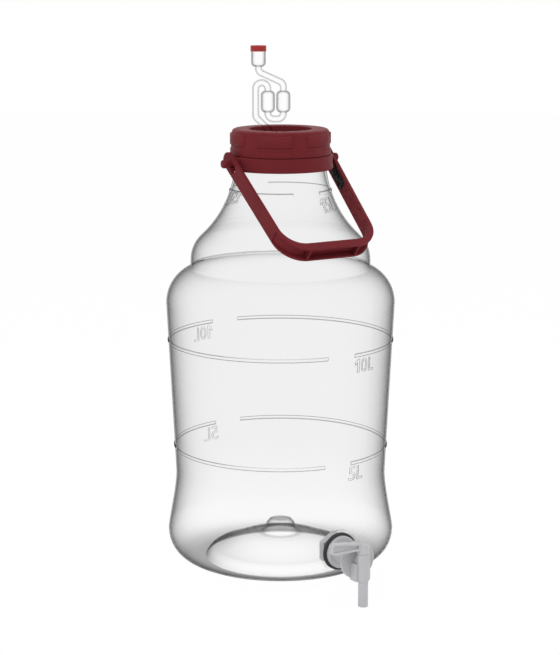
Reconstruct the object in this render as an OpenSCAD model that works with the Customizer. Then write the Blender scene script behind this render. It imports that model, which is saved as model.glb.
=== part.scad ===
// Carboy with spigot: a clear blown bottle with a screw cap, a twin-bubble airlock,
// a carry collar with a swing handle, and a lever tap low on the wall.
// Millimetres. The origin is the centre of the foot ring, +Z is up, and the tap points along -Y.

/* [Bottle] */
// Largest radius of the body, at the heel and at the shoulder
body_r = 121.8; // [118:0.1:126]
// Radius of the waist above the tap
waist_r = 112.9; // [110:0.1:116]
// Height of the waist
waist_z = 95; // [88:1:102]
// Outer radius of the ring that the bottle stands on
foot_r = 84; // [80:0.5:88]
// Width of the flat of that ring
foot_flat = 3; // [2:0.5:4]
// Height at which the heel reaches the full radius
heel_h = 33.6; // [32:0.1:38]
// Height at which the shoulder starts to turn in
shoulder_z = 281.6; // [265:0.1:300]
// Radius of the shoulder's turn, in section
shoulder_round = 40.6; // [37:0.1:44]
// Radius of the dome above the crease of the shoulder
dome_r = 95.5; // [93:0.1:98]
// Height of the neck's root above the start of the shoulder
dome_h = 142.7; // [138:0.1:150]
// Radius of the dome where its flank is steepest
flank_r = 84; // [81:0.1:87]
// Depth of that place below the neck's root
flank_drop = 71.1; // [68:0.1:74]
// Lean of the flank there, from the vertical, in degrees
flank_lean = 47; // [42:1:50]
// Radius of the neck's root, just under the carry collar
root_r = 48.2; // [47.9:0.1:49]
// Thickness of the blown wall
wall = 1.2; // [1:0.1:1.8]
// Height of the push-up under the base, at its middle
pushup_h = 26; // [20:0.5:32]
// Height of the gate boss above the push-up
gate_boss_h = 14; // [8:0.5:18]
// Radius of the gate boss at its foot
gate_boss_r = 20; // [16:0.5:26]

/* [Graduation beads] */
// Height of the upper edge of the lowest bead
bead_low_z = 128.6; // [120:0.1:150]
// Height of the upper edge of the middle bead
bead_mid_z = 243.9; // [200:0.1:260]
// Depth of the upper edge of the highest bead below the neck's root
bead_top_drop = 20.6; // [12:0.1:30]
// Height of a bead
bead_h = 4.3; // [3:0.1:6]
// How far a bead stands proud of the wall
bead_proud = 1.1; // [0.6:0.1:2]
// Width of the gap in a bead ring, front and back
bead_gap = 32; // [20:1:44]

/* [Neck finish] */
// Outer radius of the neck finish
neck_r = 47.4; // [46.4:0.1:47.6]
// Thickness of the neck finish
neck_wall = 2.2; // [1.6:0.1:3]
// Height of the retaining bead over the carry collar
retainer_h = 1.8; // [1.2:0.1:2.4]
// How far the retaining bead stands proud of the finish
retainer_proud = 0.9; // [0.5:0.1:1.2]

/* [Carry collar] */
// Height of the carry collar
collar_h = 14.7; // [12:0.1:18]
// Outer radius of the carry collar
collar_r = 54.9; // [53.5:0.1:56]
// Height of the lip round its foot
collar_lip_h = 4.2; // [3:0.1:5]
// How far the lip stands proud
collar_lip = 0.7; // [0.4:0.1:1.2]
// Thickness of the collar's walls
collar_wall = 2.2; // [1.8:0.1:2.4]
// Number of ribs inside the collar
collar_ribs = 24; // [12:2:32]
// Clearance round the neck finish
collar_clear = 0.25; // [0.15:0.05:0.4]
// Distance of the ear faces from the bottle's axis
ear_x = 57.6; // [57:0.1:58.4]
// Width of an ear
ear_w = 17; // [14:0.5:20]
// Radius of the peg's neck
peg_neck_r = 3.2; // [2.6:0.1:3.6]
// Radius of the peg's head
peg_head_r = 4.45; // [4.1:0.05:5]
// Length of the peg's head
peg_head_l = 5; // [3.5:0.5:7]
// Free length of the peg's neck between ear and head
peg_neck_l = 8.4; // [7.8:0.1:10]

/* [Bail handle] */
// Width of the strap
strap_w = 17.5; // [14:0.5:20]
// Thickness of the strap in the arms
strap_t = 3.5; // [2.5:0.1:4]
// Gap between the ear face and the arm at the pivot
ear_gap = 0.9; // [0.7:0.1:1.2]
// How far each arm leans in on its way to the grip, in degrees
arm_lean = 2.7; // [1.5:0.1:3]
// Distance from the pivot to the inner face of the grip
grip_reach = 124.6; // [124:0.1:132]
// Depth of the grip, from its inner face to its outer edges
grip_depth = 8.9; // [6:0.1:12]
// Radius of the outer corners
corner_r = 30; // [24:1:36]
// Thickness of the grip's floor and flanges
flange_t = 2.4; // [1.8:0.1:3]
// Distance of the grip's cross ribs from the middle
grip_rib_x = 29; // [20:0.5:34]
// Length of the arm past the pivot
arm_tail = 13; // [10:0.5:15]
// Length of the keyhole slot, from the pivot to its far end
keyhole_l = 12.4; // [10.5:0.1:15]
// Radial clearance of the peg's neck in its hole
peg_clear = 0.08; // [0.05:0.01:0.1]
// Clearance of the resting grip over the dome
rest_gap = 0.4; // [0.2:0.1:1]

/* [Screw cap] */
// Height of the screw cap
cap_h = 26.7; // [24:0.1:29]
// Radius of the cap's lower band
cap_r = 53; // [52.4:0.1:53.6]
// Height of the lower band
cap_band_h = 6.5; // [5:0.5:8]
// Radius of the side wall above the band
cap_side_r = 52.2; // [51.8:0.1:52.3]
// Radius of the side wall at the top edge
cap_top_r = 51; // [50.6:0.1:51.4]
// Rounding of the top edge
cap_round = 3; // [1.5:0.1:3.5]
// Thickness of the cap's top
cap_top_t = 2.4; // [1.8:0.1:3]
// Clearance between the neck finish and the cap's skirt, which the thread takes up
cap_thread_room = 1.8; // [1.4:0.1:2.2]
// Number of grip pads
pad_count = 6; // [4:1:8]
// Angle that a pad covers
pad_angle = 43; // [24:1:44]
// Direction of the first pad's middle, from the front towards +X
pad_start = 21.4; // [0:0.1:59]
// Height of a pad
pad_h = 13.6; // [10:0.1:15]
// How far a pad stands proud of the lower band
pad_proud = 0.3; // [0.1:0.1:0.6]
// Radius of the recess in the top
recess_r = 42; // [38:0.5:42]
// Depth of the recess
recess_d = 8; // [5:0.5:10]
// Radius of the well in the middle of the recess
well_r = 22; // [18:0.5:26]
// Depth of the well below the recess
well_d = 12; // [9:0.5:14]
// Thickness of the cap's floors and inner walls
cap_wall = 2; // [1.5:0.1:2.2]
// Clearance between the cap's plug and the neck bore
plug_clear = 1; // [0.6:0.1:1.4]

/* [Seal and grommet] */
// Thickness of the seal ring between rim and cap
seal_t = 2.2; // [1.6:0.1:3]
// Radial room left either side of the seal ring
seal_room = 0.3; // [0.2:0.05:0.5]
// Outer radius of the grommet's flanges
grommet_r = 9.5; // [8.5:0.1:12]
// Radius of the grommet's waist
grommet_waist_r = 6.8; // [6:0.1:7.5]
// Thickness of each flange of the grommet
grommet_flange = 1.9; // [1.2:0.1:2]

/* [Airlock] */
// Outer radius of the airlock's tubing
tube_r = 3.6; // [3.3:0.05:4]
// Wall of the airlock
tube_wall = 1; // [0.7:0.05:1.2]
// Direction of the airlock's plane, seen from above
airlock_yaw = -31.6; // [-60:0.1:0]
// Length of the stem below the floor of the well
stem_below = 21; // [12:0.5:26]
// Height of the lower elbow above the floor of the well
elbow_z = 6; // [5.5:0.1:9]
// Sideways offset of the rising tube from the stem
rise_x = 26; // [25:0.1:28]
// Sideways step from the rising tube to the first bulb
loop_step = 12.8; // [12:0.1:13.4]
// Sideways step from the first bulb to the second
bulb_step = 16.1; // [15.6:0.1:17]
// Outer radius of the bulbs
bulb_r = 7.45; // [6.9:0.05:7.7]
// Height of the bulbs' lower ends above the floor of the well
bulb_z = 36.4; // [35:0.1:40]
// Length of a bulb
bulb_l = 23.2; // [20:0.1:24]
// Height of the top loop's middle above the lower ends of the bulbs
loop_rise = 31.2; // [30:0.1:33]
// Depth of the U-bend's middle below the lower ends of the bulbs
ubend_drop = 6.6; // [6.2:0.1:8]
// Sideways offset of the cup from the stem
cup_x = 23; // [22:0.1:24]
// Height of the upper elbow, under the cup, above the lower ends of the bulbs
cross_rise = 42.6; // [42:0.1:45]
// Slope of the cross tube, in degrees below the level
cross_slope = 24.5; // [22:0.5:27]
// Outer radius of the cup
cup_r = 7.65; // [7.2:0.05:8.2]
// Height of the cup's foot above the lower ends of the bulbs
cup_rise = 47.6; // [47:0.1:50]
// Height of the cup
cup_h = 21; // [16:0.1:24]
// Radius of the elbows
elbow_r = 6; // [5:0.1:6.2]
// Thickness of the webs between the tubes
web_t = 1.4; // [1:0.1:2]

/* [Airlock cap] */
// Height of the airlock's cap
dust_cap_h = 6; // [4.5:0.1:8]
// Wall of the airlock's cap
dust_cap_wall = 0.6; // [0.5:0.05:1.2]
// Thickness of its top
dust_cap_top = 1.2; // [0.8:0.1:2]
// Radial clearance of the cap on the cup
dust_cap_clear = 0.05; // [0.02:0.01:0.1]
// Diameter of each vent hole
vent_d = 1.2; // [0.8:0.1:1.6]
// Number of vent holes
vent_count = 4; // [3:1:6]

/* [Tap] */
// Height of the tap's axis
tap_z = 35.5; // [34:0.5:38]
// Depth of the tap's seat below the wall at its top and bottom edges
seat_depth = 0.35; // [0.2:0.05:1.2]
// Radius of the seat
seat_r = 21; // [20.4:0.1:22]
// Radius of the outer gasket
gasket_r = 19.7; // [18:0.1:20]
// Thickness of the outer gasket
gasket_t = 3; // [2:0.1:4]
// Thickness of the inner gasket
inner_gasket_t = 2.5; // [1.5:0.1:3.5]
// Radius of the tap's flange
flange_r = 17; // [15:0.1:18]
// Thickness of the tap's flange
flange_l = 4; // [3:0.1:5]
// Radius of the threaded stem through the wall
stem_r = 8; // [7:0.1:8.5]
// Clearance of the stem in the gaskets and in the bottle's hole
stem_room = 0.3; // [0.2:0.05:0.6]
// Radial clearance of the nut on the stem
nut_clear = 0.05; // [0.03:0.01:0.1]
// Radius of the nut across its corners
nut_r = 19; // [16:0.5:20]
// Thickness of the nut
nut_t = 8; // [6:0.5:10]
// Length of stem past the nut
stem_past = 4; // [2:0.5:6]
// Radius of the body tube between flange and disc
body_tube_r = 9.5; // [8.6:0.1:11]
// Distance from the seat to the front face of the disc
disc_out = 35.2; // [33:0.1:38]
// Radius of the disc
disc_r = 20; // [17.5:0.1:22]
// Thickness of the disc
disc_t = 2.4; // [1.8:0.1:3]
// Distance from the disc's front face to the barrel's axis
barrel_out = 10.3; // [9.5:0.1:12]
// Radius of the barrel
barrel_r = 6.45; // [6.1:0.05:7]
// Height of the barrel above the tap's axis
barrel_up = 9.5; // [9:0.1:12]
// Depth of the barrel below the tap's axis
barrel_down = 20.5; // [18:0.5:24]
// Half width of the block between disc and barrel
block_x = 8.6; // [7:0.1:10]
// Depth of the block's top below the tap's axis
block_drop = 1.5; // [1:0.1:3]
// Outer radius of the spout
spout_r = 5.1; // [4.6:0.1:5.5]
// Wall of the spout
spout_wall = 1.2; // [0.8:0.1:1.4]
// Length of the spout below the barrel
spout_l = 26.2; // [20:0.1:34]
// Radius of the water way
way_r = 3.2; // [2.6:0.1:3.4]

/* [Tap lever] */
// Radius of the lever's plug
plug_r = 4.8; // [4.4:0.05:5]
// Radial clearance of the plug in the barrel
plug_gap = 0.05; // [0.03:0.01:0.1]
// Depth of the plug below the tap's axis
plug_down = 8; // [6:0.1:10]
// Gap between the barrel's top and the lever's hub
hub_gap = 0.3; // [0.2:0.05:0.6]
// Height of the hub
hub_h = 12.4; // [10:0.1:15]
// Length of the lever from the barrel's axis to its tip
lever_l = 40; // [32:0.5:46]
// Height of the lever's lower edge above the hub's foot
lever_foot = 4.2; // [3:0.1:5]
// Height of the lever's blade next to the hub
lever_near_h = 7.5; // [6:0.1:8]
// Height of the lever's blade at its tip
lever_tip_h = 12.5; // [10:0.1:15]
// Thickness of the lever's blade
lever_t = 6; // [4.5:0.1:8]
// Width of the raised rim round the blade's recess
lever_rim = 2.4; // [1.6:0.1:2.6]
// Depth of that recess
lever_recess = 1.8; // [1:0.1:2.2]

/* [Hidden] */

$fn = 96;

clear_pet = [0.88, 0.91, 0.93, 0.35];
dark_red = [0.44, 0.16, 0.18];
bright_red = [0.62, 0.13, 0.14];
tap_grey = [0.70, 0.70, 0.72];
black_rubber = [0.16, 0.16, 0.17];

cut = 1; // overrun of a cut past the face that it opens

// ---- points and curves ----------------------------------------------------------------------

function unit(v) = v / norm(v);
function left_of(v) = [-v[1], v[0]];
function cross2(a, b) = a[0] * b[1] - a[1] * b[0];
function reversed(p) = [for (i = [len(p) - 1 : -1 : 0]) p[i]];
function lean_dir(angle) = [-sin(angle), cos(angle)];

// A cubic curve from a to d, pulled by b and c, without its first point
function curve(a, b, c, d, steps) =
    [for (i = [1 : steps]) let (t = i / steps, s = 1 - t)
        s * s * s * a + 3 * s * s * t * b + 3 * s * t * t * c + t * t * t * d];

// The point of line p at index i, moved to the left of the line by distance d
function moved_left(p, i, d) =
    let (before = unit(p[max(i, 1)] - p[max(i, 1) - 1]),
         after = unit(p[min(i, len(p) - 2) + 1] - p[min(i, len(p) - 2)]),
         half = unit(left_of(before) + left_of(after)))
    p[i] + half * d / (half * left_of(after));

// A closed outline whose corner i is rounded with radii[i]; 0 keeps the corner sharp
function rounded(corners, radii) =
    [for (i = [0 : len(corners) - 1])
        let (n = len(corners), b = corners[i], r = radii[i],
             u = unit(corners[(i + n - 1) % n] - b), v = unit(corners[(i + 1) % n] - b))
        each r == 0 ? [b] : corner_arc(b, u, v, r)];

function corner_arc(b, u, v, r) =
    let (half = acos(u * v) / 2,
         centre = b + unit(u + v) * r / sin(half),
         from = b + u * r / tan(half) - centre,
         turn = 180 - 2 * half, side = cross2(u, v) > 0 ? -1 : 1,
         steps = max(3, ceil(turn / 7.5)))
    [for (i = [0 : steps]) let (a = side * turn * i / steps)
        centre + [from[0] * cos(a) - from[1] * sin(a), from[0] * sin(a) + from[1] * cos(a)]];

// ---- bottle ---------------------------------------------------------------------------------

heel_power = 0.91;   // 1 is a quarter ellipse, less is squarer
neck_z = shoulder_z + dome_h;
bore_r = neck_r - neck_wall;
thicken_h = 26;      // height over which the wall thickens towards the neck

// Underside of the base, from the axis out to the foot ring
step_in = 9;         // width of the steep step inside the foot ring
step_up = 10;        // height of that step
foot_in = foot_r - foot_flat;
step_r = foot_in - step_in;
boss_flat_r = gate_boss_r * 0.45;
base_line = concat(
    [[0, pushup_h + gate_boss_h], [boss_flat_r, pushup_h + gate_boss_h]],
    curve([boss_flat_r, pushup_h + gate_boss_h], [gate_boss_r * 0.75, pushup_h + gate_boss_h],
          [gate_boss_r * 0.72, pushup_h + 2], [gate_boss_r, pushup_h], 6),
    curve([gate_boss_r, pushup_h], [gate_boss_r + 18, pushup_h],
          [step_r - 18, step_up + 6], [step_r, step_up], 8),
    curve([step_r, step_up], [step_r + step_in / 2, step_up - 2],
          [foot_in - 1.5, 3], [foot_in, 0], 4));

heel_line = [for (i = [0 : 14]) let (t = 90 * i / 14)
    [foot_r + (body_r - foot_r) * pow(sin(t), heel_power), heel_h * (1 - pow(cos(t), heel_power))]];

// From the heel in to the waist, then out again along a long straight taper
waist_line = curve([body_r, heel_h], [body_r, heel_h + 5.5], [waist_r, waist_z - 16.4],
                   [waist_r, waist_z], 12);
taper = (body_r - waist_r) / (shoulder_z - waist_z - 4);
taper_line = curve([waist_r, waist_z], [waist_r, waist_z + 4], [waist_r + 6 * taper, waist_z + 10],
                   [waist_r + 10 * taper, waist_z + 14], 3);

crease_r = dome_r + 1.7;
shoulder_end = acos((crease_r - body_r) / shoulder_round + 1);
shoulder_line = [for (i = [0 : 13]) let (a = shoulder_end * i / 13)
    [body_r - shoulder_round * (1 - cos(a)), shoulder_z + shoulder_round * sin(a)]];
crease = shoulder_line[13];
dome_z = crease[1] + 4.4;
crease_line = curve(crease, crease + 1.6 * lean_dir(shoulder_end), [dome_r, dome_z - 2.4],
                    [dome_r, dome_z], 4);

flank = [flank_r, neck_z - flank_drop];
root = [root_r, neck_z];
dome_line = concat(
    curve([dome_r, dome_z], [dome_r, dome_z + 7.2], flank - 16.2 * lean_dir(flank_lean), flank, 10),
    curve(flank, flank + 40.6 * lean_dir(flank_lean), root - 12.3 * lean_dir(9.9), root, 14));

side_line = concat(heel_line, waist_line, taper_line, shoulder_line, crease_line, dome_line);
outer_line = concat(base_line, side_line);

function wall_at(z) = wall + (root_r - bore_r - wall) * max(0, 1 - (neck_z - z) / thicken_h);
inner_line = [for (i = [0 : len(outer_line) - 2])
    let (p = moved_left(outer_line, i, wall_at(outer_line[i][1]))) [max(0, p[0]), p[1]]];

side_by_z = [for (p = side_line) [p[1], p[0]]];
function side_r(z) = lookup(z, side_by_z);
seat_y = min(side_r(tap_z - seat_r), side_r(tap_z + seat_r)) - seat_depth;

// ---- heights of the pieces on the neck --------------------------------------------------------

cap_gap = 0.3;       // gap between carry collar and cap
cap_z = neck_z + collar_h + cap_gap;
cap_top_z = cap_z + cap_h;
rim_z = cap_top_z - cap_top_t - seal_t;
recess_z = cap_top_z - recess_d;
well_z = recess_z - well_d;
skirt_bore_r = neck_r + cap_thread_room;
plug_r_outer = bore_r - plug_clear;

module bottle_form() {
    rim_round = 0.5;
    rotate_extrude() polygon(concat(outer_line,
        [[neck_r, neck_z], [neck_r, rim_z - rim_round], [neck_r - rim_round, rim_z], [0, rim_z]]));
}

module bottle_cavity() {
    rotate_extrude() polygon(concat(inner_line,
        [[bore_r, neck_z], [bore_r, rim_z + cut], [0, rim_z + cut]]));
}

// A round pocket from a flat at distance y out past the wall
module tap_pocket(r, y) {
    translate([0, -y, tap_z]) rotate([90, 0, 0]) cylinder(r = r, h = body_r);
}

// One graduation ring: two arcs that follow the wall, with a gap at the front and at the back
module bead(top_z) {
    foot_z = top_z - bead_h;
    depth = wall / 2;
    along = unit([side_r(top_z) - side_r(foot_z), bead_h]);
    start = [side_r(foot_z), foot_z];
    steps = 6;
    crown = [for (i = [0 : steps]) let (t = i / steps)
        start + along * t * norm([side_r(top_z) - start[0], bead_h])
              - left_of(along) * bead_proud * sin(180 * t)];
    half_gap = asin(bead_gap / 2 / side_r(foot_z));
    for (side = [0, 180])
        rotate([0, 0, side - 90 + half_gap])
            rotate_extrude(angle = 180 - 2 * half_gap)
                polygon(concat([crown[0] + left_of(along) * depth], crown,
                               [crown[steps] + left_of(along) * depth]));
}

// The ring on the finish that keeps the carry collar down
module retainer() {
    foot = neck_z + collar_h + 0.1;
    rotate_extrude() polygon([[bore_r + neck_wall / 2, foot], [neck_r + retainer_proud * 0.6, foot],
        [neck_r + retainer_proud, foot + retainer_h * 0.35],
        [neck_r, foot + retainer_h], [bore_r + neck_wall / 2, foot + retainer_h]]);
}

module bottle() {
    color(clear_pet) difference() {
        union() {
            difference() {
                bottle_form();
                tap_pocket(seat_r, seat_y);
            }
            for (z = [bead_low_z, bead_mid_z, neck_z - bead_top_drop]) bead(z);
            retainer();
        }
        difference() {
            bottle_cavity();
            tap_pocket(seat_r + wall, seat_y - wall);
        }
        translate([0, -seat_y - cut, tap_z]) rotate([-90, 0, 0])
            cylinder(r = stem_r + stem_room, h = wall + 2 * cut);
    }
}

// ---- carry collar and bail handle -------------------------------------------------------------

pivot_z = neck_z + 8;
head_x = ear_x + peg_neck_l;

module carry_collar() {
    inner_r = neck_r + collar_clear;
    top_z = neck_z + collar_h;
    edge = 0.8;
    lip_r = collar_r + collar_lip;
    color(dark_red) difference() {
        union() {
            rotate_extrude() polygon([[inner_r, neck_z], [lip_r - 0.4, neck_z], [lip_r, neck_z + 0.6],
                [lip_r, neck_z + collar_lip_h - 0.6], [collar_r, neck_z + collar_lip_h],
                [collar_r, top_z - edge], [collar_r - edge, top_z], [inner_r, top_z]]);
            for (side = [0, 180]) rotate([0, 0, side]) ear(inner_r, top_z);
        }
        // the ring is cored out from below, between ribs
        core_in = inner_r + collar_wall;
        core_out = collar_r - collar_wall;
        rib = 1.6;
        for (i = [0 : collar_ribs - 1]) rotate([0, 0, (i + 0.5) * 360 / collar_ribs])
            let (half = 180 / collar_ribs - asin(rib / 2 / core_in))
            rotate([0, 0, -half]) rotate_extrude(angle = 2 * half)
                translate([core_in, neck_z - cut])
                    square([core_out - core_in, collar_h - collar_wall + cut]);
    }
}

// The boss on the +X side that carries the handle's peg
module ear(inner_r, top_z) {
    intersection() {
        translate([inner_r + 1, -ear_w / 2, neck_z])
            cube([ear_x - inner_r - 1, ear_w, top_z - neck_z]);
        translate([inner_r, 0, pivot_z]) rotate([0, 90, 0]) cylinder(r = ear_w * 0.56, h = 20);
    }
    translate([ear_x - 1, 0, pivot_z]) rotate([0, 90, 0]) {
        cylinder(r = peg_neck_r, h = peg_neck_l + 1.5);
        translate([0, 0, peg_neck_l + 1]) rotate_extrude() polygon([[0, 0], [peg_head_r - 0.5, 0],
            [peg_head_r, 0.5], [peg_head_r, peg_head_l - 1.4], [peg_head_r - 0.4, peg_head_l - 0.6],
            [peg_head_r - 1.4, peg_head_l], [0, peg_head_l]]);
    }
}

// The handle is drawn hanging straight down from its pivot and then turned to its rest
arm_in_x = ear_x + ear_gap;
arm_slope = tan(arm_lean);
grip_out = grip_reach + grip_depth;

// Outline of the space inside the handle, or of its outside, grown by d sideways and downwards
function loop_outline(x_top, reach, r, tail) =
    let (foot_x = x_top - arm_slope * reach, head_x = x_top + arm_slope * tail)
    rounded([[head_x, tail], [foot_x, -reach], [-foot_x, -reach], [-head_x, tail]], [0, r, r, 0]);

module loop_plate(x_top, reach, r, width) {
    rotate([90, 0, 0]) translate([0, 0, -width / 2]) linear_extrude(height = width)
        polygon(loop_outline(x_top, reach, r, arm_tail + 2 * cut));
}

module bail_form() {
    inner_corner_r = corner_r - 6;
    difference() {
        // strap outline seen from the front, cut to the rounded arm ends seen from the side
        intersection() {
            loop_plate(arm_in_x + strap_t, grip_out, corner_r, strap_w);
            side = [[-strap_w / 2, arm_tail], [-strap_w / 2, -grip_out - cut],
                    [strap_w / 2, -grip_out - cut], [strap_w / 2, arm_tail]];
            rotate([90, 0, 90]) translate([0, 0, -arm_in_x - 12])
                linear_extrude(height = 2 * arm_in_x + 24)
                    polygon(rounded(side, [strap_w / 2 - 0.6, 0, 0, strap_w / 2 - 0.6]));
        }
        loop_plate(arm_in_x, grip_reach, inner_corner_r, strap_w + 2 * cut);
        // channel in the outside of the grip and corners, crossed by two ribs
        difference() {
            translate([-arm_in_x, -(strap_w / 2 - flange_t), -grip_out - cut])
                cube([2 * arm_in_x, strap_w - 2 * flange_t, corner_r + cut]);
            loop_plate(arm_in_x + flange_t, grip_reach + flange_t, inner_corner_r + flange_t,
                       strap_w);
            for (side = [-1, 1])
                translate([side * grip_rib_x - 1, -strap_w / 2, -grip_out - 2 * cut])
                    cube([2, strap_w, grip_depth + 3 * cut]);
        }
        // keyholes: a close hole on the peg's neck, and a wider one that lets its head through
        entry_r = peg_head_r + 0.25;
        rotate([0, 90, 0]) translate([0, 0, -arm_in_x - 12]) {
            cylinder(r = peg_neck_r + peg_clear, h = 2 * arm_in_x + 24);
            translate([keyhole_l - entry_r, 0, 0]) cylinder(r = entry_r, h = 2 * arm_in_x + 24);
            translate([0, -peg_neck_r * 0.85, 0])
                cube([keyhole_l - entry_r, peg_neck_r * 1.7, 2 * arm_in_x + 24]);
        }
    }
}

// The handle rests at the steepest lean at which its grip's section stays clear of the dome
upper_points = [for (z = [shoulder_z - 20 : 1 : neck_z]) [side_r(z), pivot_z - z]];
function grip_clear(a) =
    min([for (p = upper_points)
        let (along = p[0] * sin(a) + p[1] * cos(a), across = p[1] * sin(a) - p[0] * cos(a))
        max(grip_reach - along, along - grip_out, abs(across) - strap_w / 2)]);
lean_step = 0.25;
bail_rest = lean_step + max([for (a = [35 : lean_step : 100]) if (grip_clear(a) < rest_gap) a]);

module bail_handle() {
    color(dark_red) translate([0, 0, pivot_z]) rotate([-bail_rest, 0, 0]) bail_form();
}

// ---- cap, seal and grommet --------------------------------------------------------------------

module screw_cap() {
    plug_in = plug_r_outer - cap_wall;
    top_in = min(recess_r, plug_in);
    well_out = well_r + cap_wall;
    band_z = cap_z + cap_band_h;
    color(dark_red) {
        difference() {
            union() {
                rotate_extrude() polygon(concat(
                    [[skirt_bore_r, cap_z], [cap_r - 0.4, cap_z], [cap_r, cap_z + 0.4],
                     [cap_r, band_z - 0.8], [cap_side_r, band_z]],
                    [for (i = [0 : 6]) let (a = 90 * i / 6)
                        [cap_top_r - cap_round * (1 - cos(a)),
                         cap_top_z - cap_round * (1 - sin(a))]],
                    [[top_in + 0.6, cap_top_z], [top_in, cap_top_z - 0.6], [top_in, recess_z],
                     [well_r, recess_z], [well_r, well_z], [0, well_z], [0, well_z - cap_wall],
                     [well_out, well_z - cap_wall], [well_out, recess_z - cap_wall],
                     [plug_r_outer, recess_z - cap_wall], [plug_r_outer, cap_top_z - cap_top_t],
                     [skirt_bore_r, cap_top_z - cap_top_t]]));
                for (i = [0 : pad_count - 1])
                    rotate([0, 0, pad_start - 90 - pad_angle / 2 + i * 360 / pad_count]) grip_pad(band_z);
            }
            translate([0, 0, well_z - cap_wall - cut])
                cylinder(r = grommet_waist_r + 0.05, h = cap_wall + 2 * cut);
        }
    }
}

module grip_pad(band_z) {
    foot_z = band_z + 1.2;
    pad_r = cap_r + pad_proud;
    rotate_extrude(angle = pad_angle) polygon([[skirt_bore_r + 1, foot_z], [cap_side_r, foot_z],
        [pad_r, foot_z + 0.8], [pad_r, foot_z + pad_h - 1.6], [cap_side_r - 0.7, foot_z + pad_h],
        [skirt_bore_r + 1, foot_z + pad_h]]);
}

module cap_seal() {
    color(black_rubber) translate([0, 0, rim_z]) difference() {
        cylinder(r = skirt_bore_r - seal_room, h = seal_t);
        translate([0, 0, -cut]) cylinder(r = plug_r_outer + seal_room, h = seal_t + 2 * cut);
    }
}

module airlock_grommet() {
    foot_z = well_z - cap_wall - grommet_flange;
    top_z = well_z + grommet_flange;
    edge = 0.5;
    color(black_rubber) rotate_extrude() polygon([[tube_r + 0.05, foot_z], [grommet_r - edge, foot_z],
        [grommet_r, foot_z + edge], [grommet_r, well_z - cap_wall], [grommet_waist_r, well_z - cap_wall],
        [grommet_waist_r, well_z], [grommet_r, well_z], [grommet_r, top_z - edge],
        [grommet_r - edge, top_z], [tube_r + 0.05, top_z]]);
}

// ---- airlock ----------------------------------------------------------------------------------

// A round tube of radius r along points in the XZ plane, with elbows of radius bends[i].
// Elbows are a touch fatter than the straight tubing, which runs a little way into them.
module tube(points, bends, r) {
    last = len(points) - 1;
    swell = 0.12;
    lap = 0.7;
    ways = [for (i = [0 : last - 1]) unit(points[i + 1] - points[i])];
    halves = [for (i = [0 : last]) i == 0 || i == last ? 90 : acos(-ways[i - 1] * ways[i]) / 2];
    trims = [for (i = [0 : last]) bends[i] / tan(halves[i])];
    for (i = [0 : last - 1]) {
        length = norm(points[i + 1] - points[i]) - trims[i] - trims[i + 1];
        lap_in = bends[i] > 0 ? lap : 0;
        lap_out = bends[i + 1] > 0 ? lap : 0;
        start = points[i] + ways[i] * (trims[i] - lap_in);
        if (length > 0.01)
            translate([start[0], 0, start[1]]) rotate([0, atan2(ways[i][0], ways[i][1]), 0])
                cylinder(r = r, h = length + lap_in + lap_out);
    }
    for (i = [1 : last - 1]) {
        u = -ways[i - 1];
        v = ways[i];
        centre = points[i] + unit(u + v) * bends[i] / sin(halves[i]);
        from = points[i] + (cross2(u, v) > 0 ? v : u) * trims[i] - centre;
        translate([centre[0], 0, centre[1]]) rotate([90, 0, 0])
            rotate([0, 0, atan2(from[1], from[0])])
                rotate_extrude(angle = 180 - 2 * halves[i]) translate([bends[i], 0])
                    circle(r = r + swell);
    }
}

bulb1_x = -rise_x + loop_step;
bulb2_x = bulb1_x + bulb_step;
bulbs_z = well_z + bulb_z;
loop_z = bulbs_z + loop_rise;
cross_z = bulbs_z + cross_rise;
cross_end_z = cross_z - (bulb2_x + cup_x) * tan(cross_slope);
cup_z = bulbs_z + cup_rise;
cup_top_z = cup_z + cup_h;
loop_r = loop_step / 2;

// The three runs of tubing: stem to first bulb, between the bulbs, second bulb to cup
stem_run = [[0, well_z - stem_below], [0, well_z + elbow_z], [-rise_x, well_z + elbow_z + rise_x],
            [-rise_x, loop_z], [bulb1_x, loop_z], [bulb1_x, bulbs_z + bulb_l - 3]];
stem_bends = [0, elbow_r, elbow_r, loop_r, loop_r, 0];
ubend_run = [[bulb1_x, bulbs_z + 3], [bulb1_x, bulbs_z - ubend_drop],
             [bulb2_x, bulbs_z - ubend_drop], [bulb2_x, bulbs_z + 3]];
cross_run = [[bulb2_x, bulbs_z + bulb_l - 3], [bulb2_x, cross_end_z], [-cup_x, cross_z],
             [-cup_x, cup_z + 3]];
elbows = [0, elbow_r, elbow_r, 0];

// A closed bulb of radius r, or the space inside it when thin is its wall
module bulb(x, thin) {
    r = bulb_r - thin;
    low = bulbs_z + thin;
    high = bulbs_z + bulb_l - thin;
    corner = 5 - thin;
    translate([x, 0, 0]) rotate_extrude() polygon(concat([[0, low]],
        [for (i = [0 : 6]) let (a = 90 * i / 6) [r - corner * (1 - sin(a)), low + corner * (1 - cos(a))]],
        [for (i = [0 : 6]) let (a = 90 * i / 6) [r - corner * (1 - cos(a)), high - corner * (1 - sin(a))]],
        [[0, high]]));
}

module cup_form(thin) {
    r = cup_r - thin;
    low = cup_z + thin;
    corner = 4.6 - thin;
    high = cup_top_z + (thin > 0 ? cut : 0);
    translate([-cup_x, 0, 0]) rotate_extrude() polygon(concat([[0, low]],
        [for (i = [0 : 6]) let (a = 90 * i / 6) [r - corner * (1 - sin(a)), low + corner * (1 - cos(a))]],
        [[r, high], [0, high]]));
}

module airlock_passages(thin) {
    r = tube_r - thin;
    tube(stem_run, stem_bends, r);
    tube(ubend_run, elbows, r);
    tube(cross_run, elbows, r);
    bulb(bulb1_x, thin);
    bulb(bulb2_x, thin);
    cup_form(thin);
}

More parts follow.
